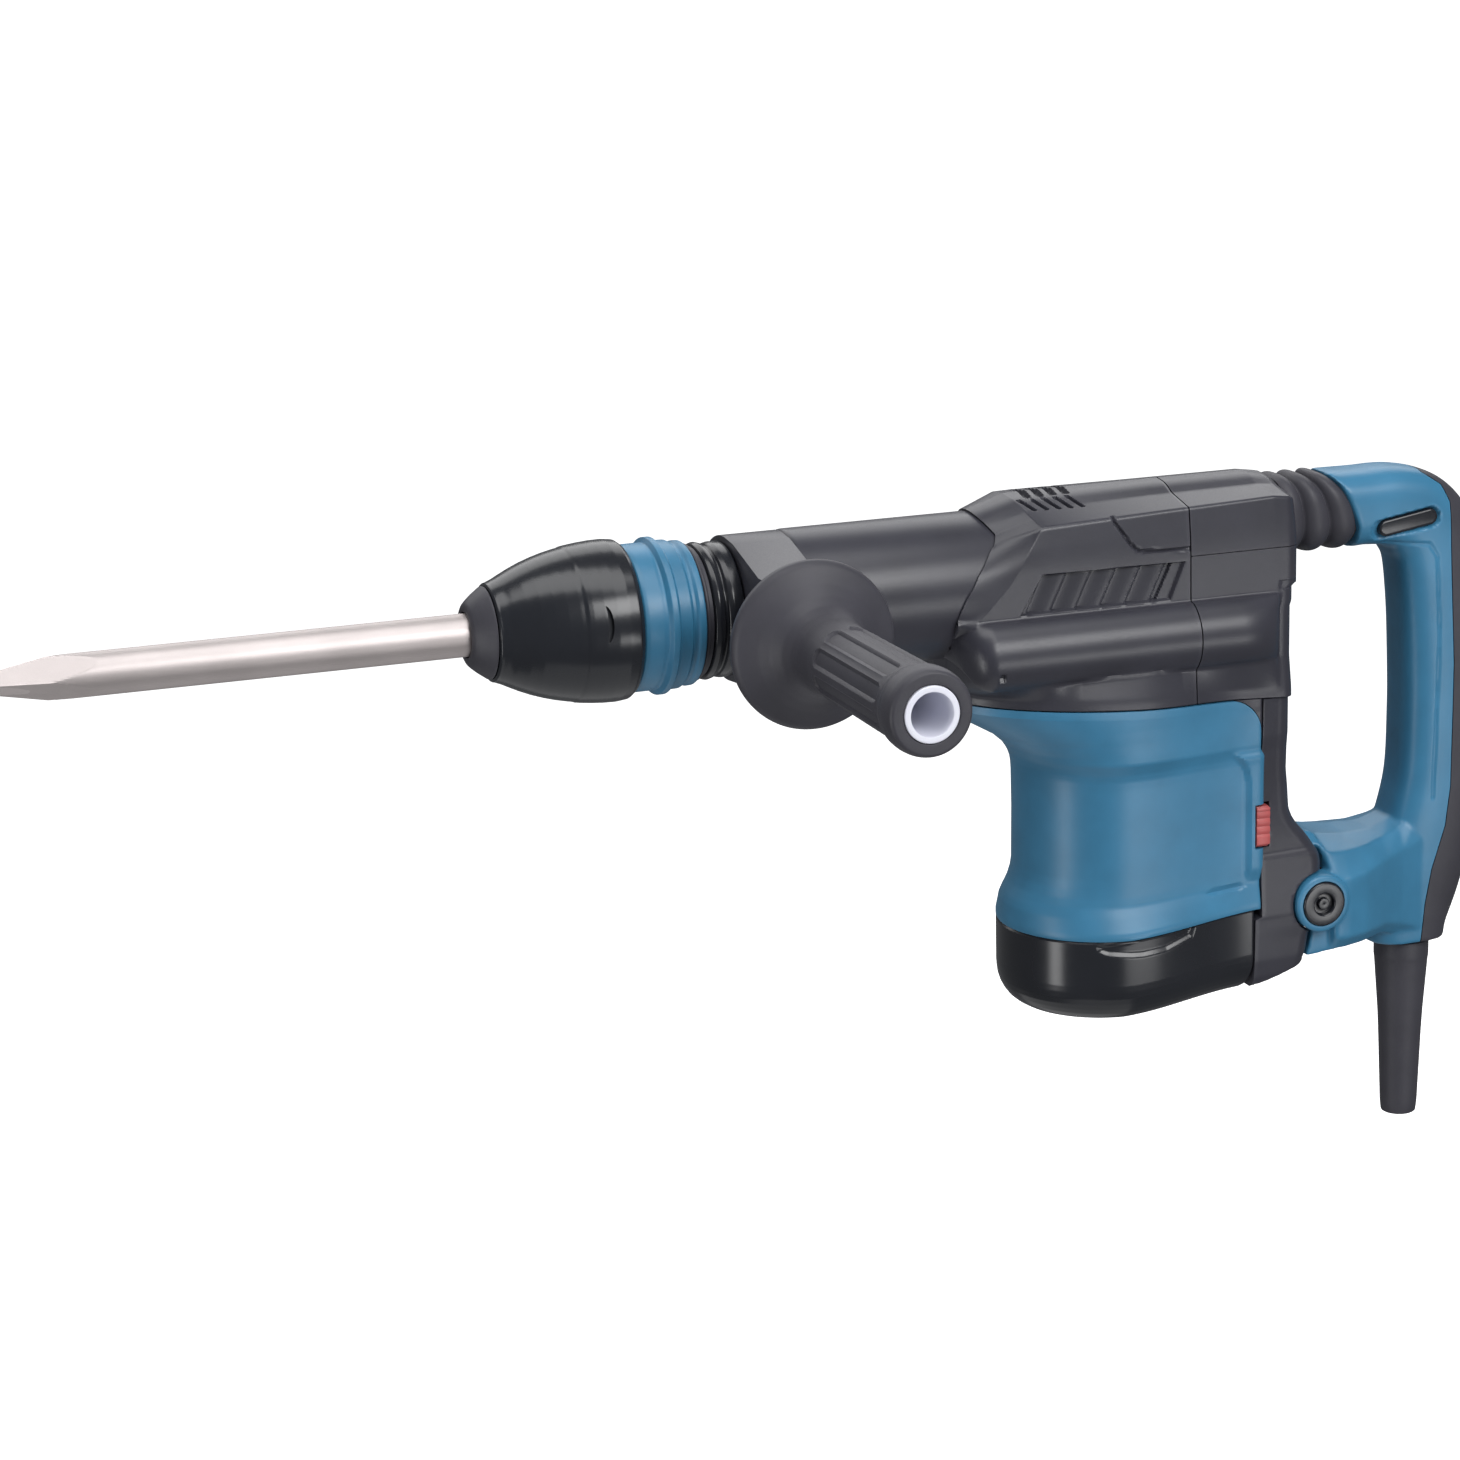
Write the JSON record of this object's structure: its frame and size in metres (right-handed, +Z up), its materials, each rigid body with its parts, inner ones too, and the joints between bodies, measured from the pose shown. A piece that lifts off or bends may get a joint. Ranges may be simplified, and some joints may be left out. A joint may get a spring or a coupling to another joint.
{
  "type": "breaker hammer",
  "caption": "Electric hammer with a long round barrel, a chuck holding a pointed chisel, a side handle, a motor housing below and a sprung D-shaped rear handle.",
  "frame": {"origin": "centre of the motor housing's flat underside, on the motor shaft's axis", "axes": "+Z up along the motor shaft; -X along the chisel's axis towards its tip; -Y towards the side handle"},
  "size_m": [0.6853, 0.2478, 0.307],
  "materials": {
    "blue_plastic": "fine texture, half gloss",
    "dark_grey_plastic": "fine texture, half gloss",
    "black_plastic": "glossy",
    "grip_rubber": "matt",
    "white_plastic": "smooth",
    "red_plastic": "smooth",
    "blasted_steel": "shot blasted",
    "machined_steel": "turned",
    "spring_steel": "drawn wire",
    "cast_alloy": "as cast",
    "copper_winding": "varnished copper winding",
    "carbon": "pressed carbon"
  },
  "bodies": {
    "hammer_body": {"barrel": "dark_grey_plastic", "dust_seal": "grip_rubber", "front_collar": "black_plastic", "holder_bearing": "machined_steel", "bolt_guide_ring": "machined_steel", "cylinder": "machined_steel", "gear_housing": "dark_grey_plastic", "rear_housing": "dark_grey_plastic", "top_cover": "dark_grey_plastic", "motor_housing": "blue_plastic", "base_cover": "black_plastic", "rear_cover": "dark_grey_plastic", "switch_box": "black_plastic", "gear_plate": "cast_alloy", "field_stator": "cast_alloy", "motor_bearing_lower": "machined_steel", "motor_bearing_upper": "machined_steel", "crank_bearing": "machined_steel", "carbon_brush_left": "carbon", "carbon_brush_right": "carbon", "brush_holder_left": "cast_alloy", "brush_holder_right": "cast_alloy", "absorber_spring_front_left": "spring_steel", "absorber_spring_front_right": "spring_steel", "absorber_spring_rear_left": "spring_steel", "absorber_spring_rear_right": "spring_steel"},
    "chuck": {"tool_holder": "machined_steel", "nose_cap": "grip_rubber", "cover_spring": "spring_steel"},
    "release_cover": {"release_cover": "black_plastic"},
    "change_ring": {"change_ring": "blue_plastic"},
    "lock_roller_left": {"lock_roller_left": "machined_steel"},
    "lock_roller_right": {"lock_roller_right": "machined_steel"},
    "chisel": {"chisel": "blasted_steel"},
    "impact_bolt": {"impact_bolt": "machined_steel"},
    "striker": {"striker": "machined_steel"},
    "piston": {"piston": "cast_alloy", "piston_pin": "machined_steel", "connecting_rod": "machined_steel"},
    "crank": {"crank_gear": "machined_steel", "crank_shaft": "machined_steel"},
    "armature": {"armature_shaft": "machined_steel", "armature_core": "copper_winding", "cooling_fan": "black_plastic"},
    "side_handle": {"side_handle_base": "black_plastic", "side_handle_bolt": "machined_steel"},
    "side_grip": {"side_grip": "grip_rubber", "side_grip_core": "white_plastic"},
    "switch_lever": {"switch_lever": "red_plastic"},
    "rear_handle": {"handle_frame": "blue_plastic", "handle_back": "grip_rubber", "cord_guard": "grip_rubber", "pivot_pin": "machined_steel", "pivot_cap_left": "black_plastic", "pivot_cap_right": "black_plastic", "bellows": "grip_rubber", "handle_spring": "spring_steel"},
    "absorber_weight_left": {"absorber_weight_left": "machined_steel"},
    "absorber_weight_right": {"absorber_weight_right": "machined_steel"}
  },
  "joints": [
    {"name": "chuck_turn", "type": "hinge", "parent": "hammer_body", "child": "chuck", "pos_m": [-0.2, 0, 0.195], "axis": [1, 0, 0], "continuous": true},
    {"name": "release_cover_slide", "type": "slide", "parent": "chuck", "child": "release_cover", "axis": [1, 0, 0], "range_m": [0, 0.007], "stiffness_N_per_m": 1500, "springref_m": -0.008, "deforming": ["cover_spring"]},
    {"name": "change_ring_slide", "type": "slide", "parent": "chuck", "child": "change_ring", "axis": [1, 0, 0], "range_m": [-0.0025, 0], "stiffness_N_per_m": 1500, "springref_m": 0.004},
    {"name": "lock_roller_left_lift", "type": "slide", "parent": "chuck", "child": "lock_roller_left", "axis": [0, -1, 0], "range_m": [0, 0.0025]},
    {"name": "lock_roller_right_lift", "type": "slide", "parent": "chuck", "child": "lock_roller_right", "axis": [0, 1, 0], "range_m": [0, 0.0025]},
    {"name": "chisel_slide", "type": "slide", "parent": "chuck", "child": "chisel", "axis": [1, 0, 0], "range_m": [-0.01, 0]},
    {"name": "impact_bolt_slide", "type": "slide", "parent": "chuck", "child": "impact_bolt", "axis": [1, 0, 0], "range_m": [-0.01, 0]},
    {"name": "striker_slide", "type": "slide", "parent": "hammer_body", "child": "striker", "axis": [1, 0, 0], "range_m": [-0.015, 0]},
    {"name": "piston_slide", "type": "slide", "parent": "hammer_body", "child": "piston", "axis": [1, 0, 0], "range_m": [0, 0.032]},
    {"name": "armature_turn", "type": "hinge", "parent": "hammer_body", "child": "armature", "pos_m": [0, 0, 0.1], "axis": [0, 0, 1], "continuous": true},
    {"name": "crank_turn", "type": "hinge", "parent": "hammer_body", "child": "crank", "pos_m": [0.038, 0, 0.155], "axis": [0, 0, 1], "continuous": true},
    {"name": "side_handle_turn", "type": "hinge", "parent": "hammer_body", "child": "side_handle", "pos_m": [-0.16, 0, 0.195], "axis": [1, 0, 0], "continuous": true},
    {"name": "side_grip_turn", "type": "hinge", "parent": "side_handle", "child": "side_grip", "pos_m": [-0.16, -0.1, 0.195], "axis": [0, -1, 0], "range_deg": [0, 360]},
    {"name": "switch_lever_slide", "type": "slide", "parent": "hammer_body", "child": "switch_lever", "axis": [0, 1, 0], "range_m": [0, 0.006]},
    {"name": "rear_handle_swing", "type": "hinge", "parent": "hammer_body", "child": "rear_handle", "pos_m": [0.091, 0, 0.043], "axis": [0, 1, 0], "range_deg": [-1.8, 0], "stiffness_Nm_per_rad": 1080, "springref_deg": 0.42, "deforming": ["bellows", "handle_spring"]},
    {"name": "absorber_left_slide", "type": "slide", "parent": "hammer_body", "child": "absorber_weight_left", "axis": [1, 0, 0], "range_m": [-0.006, 0.006], "stiffness_N_per_m": 3000, "deforming": ["absorber_spring_front_left", "absorber_spring_rear_left"]},
    {"name": "absorber_right_slide", "type": "slide", "parent": "hammer_body", "child": "absorber_weight_right", "axis": [1, 0, 0], "range_m": [-0.006, 0.006], "stiffness_N_per_m": 3000, "deforming": ["absorber_spring_front_right", "absorber_spring_rear_right"]}
  ],
  "couplings": [
    {"joint": "crank_turn", "follows": "armature_turn", "ratio": -0.18605},
    {"joint": "lock_roller_left_lift", "follows": "release_cover_slide", "ratio": 0.35},
    {"joint": "lock_roller_right_lift", "follows": "release_cover_slide", "ratio": 0.35},
    {"joint": "impact_bolt_slide", "follows": "chisel_slide", "ratio": 1}
  ]
}
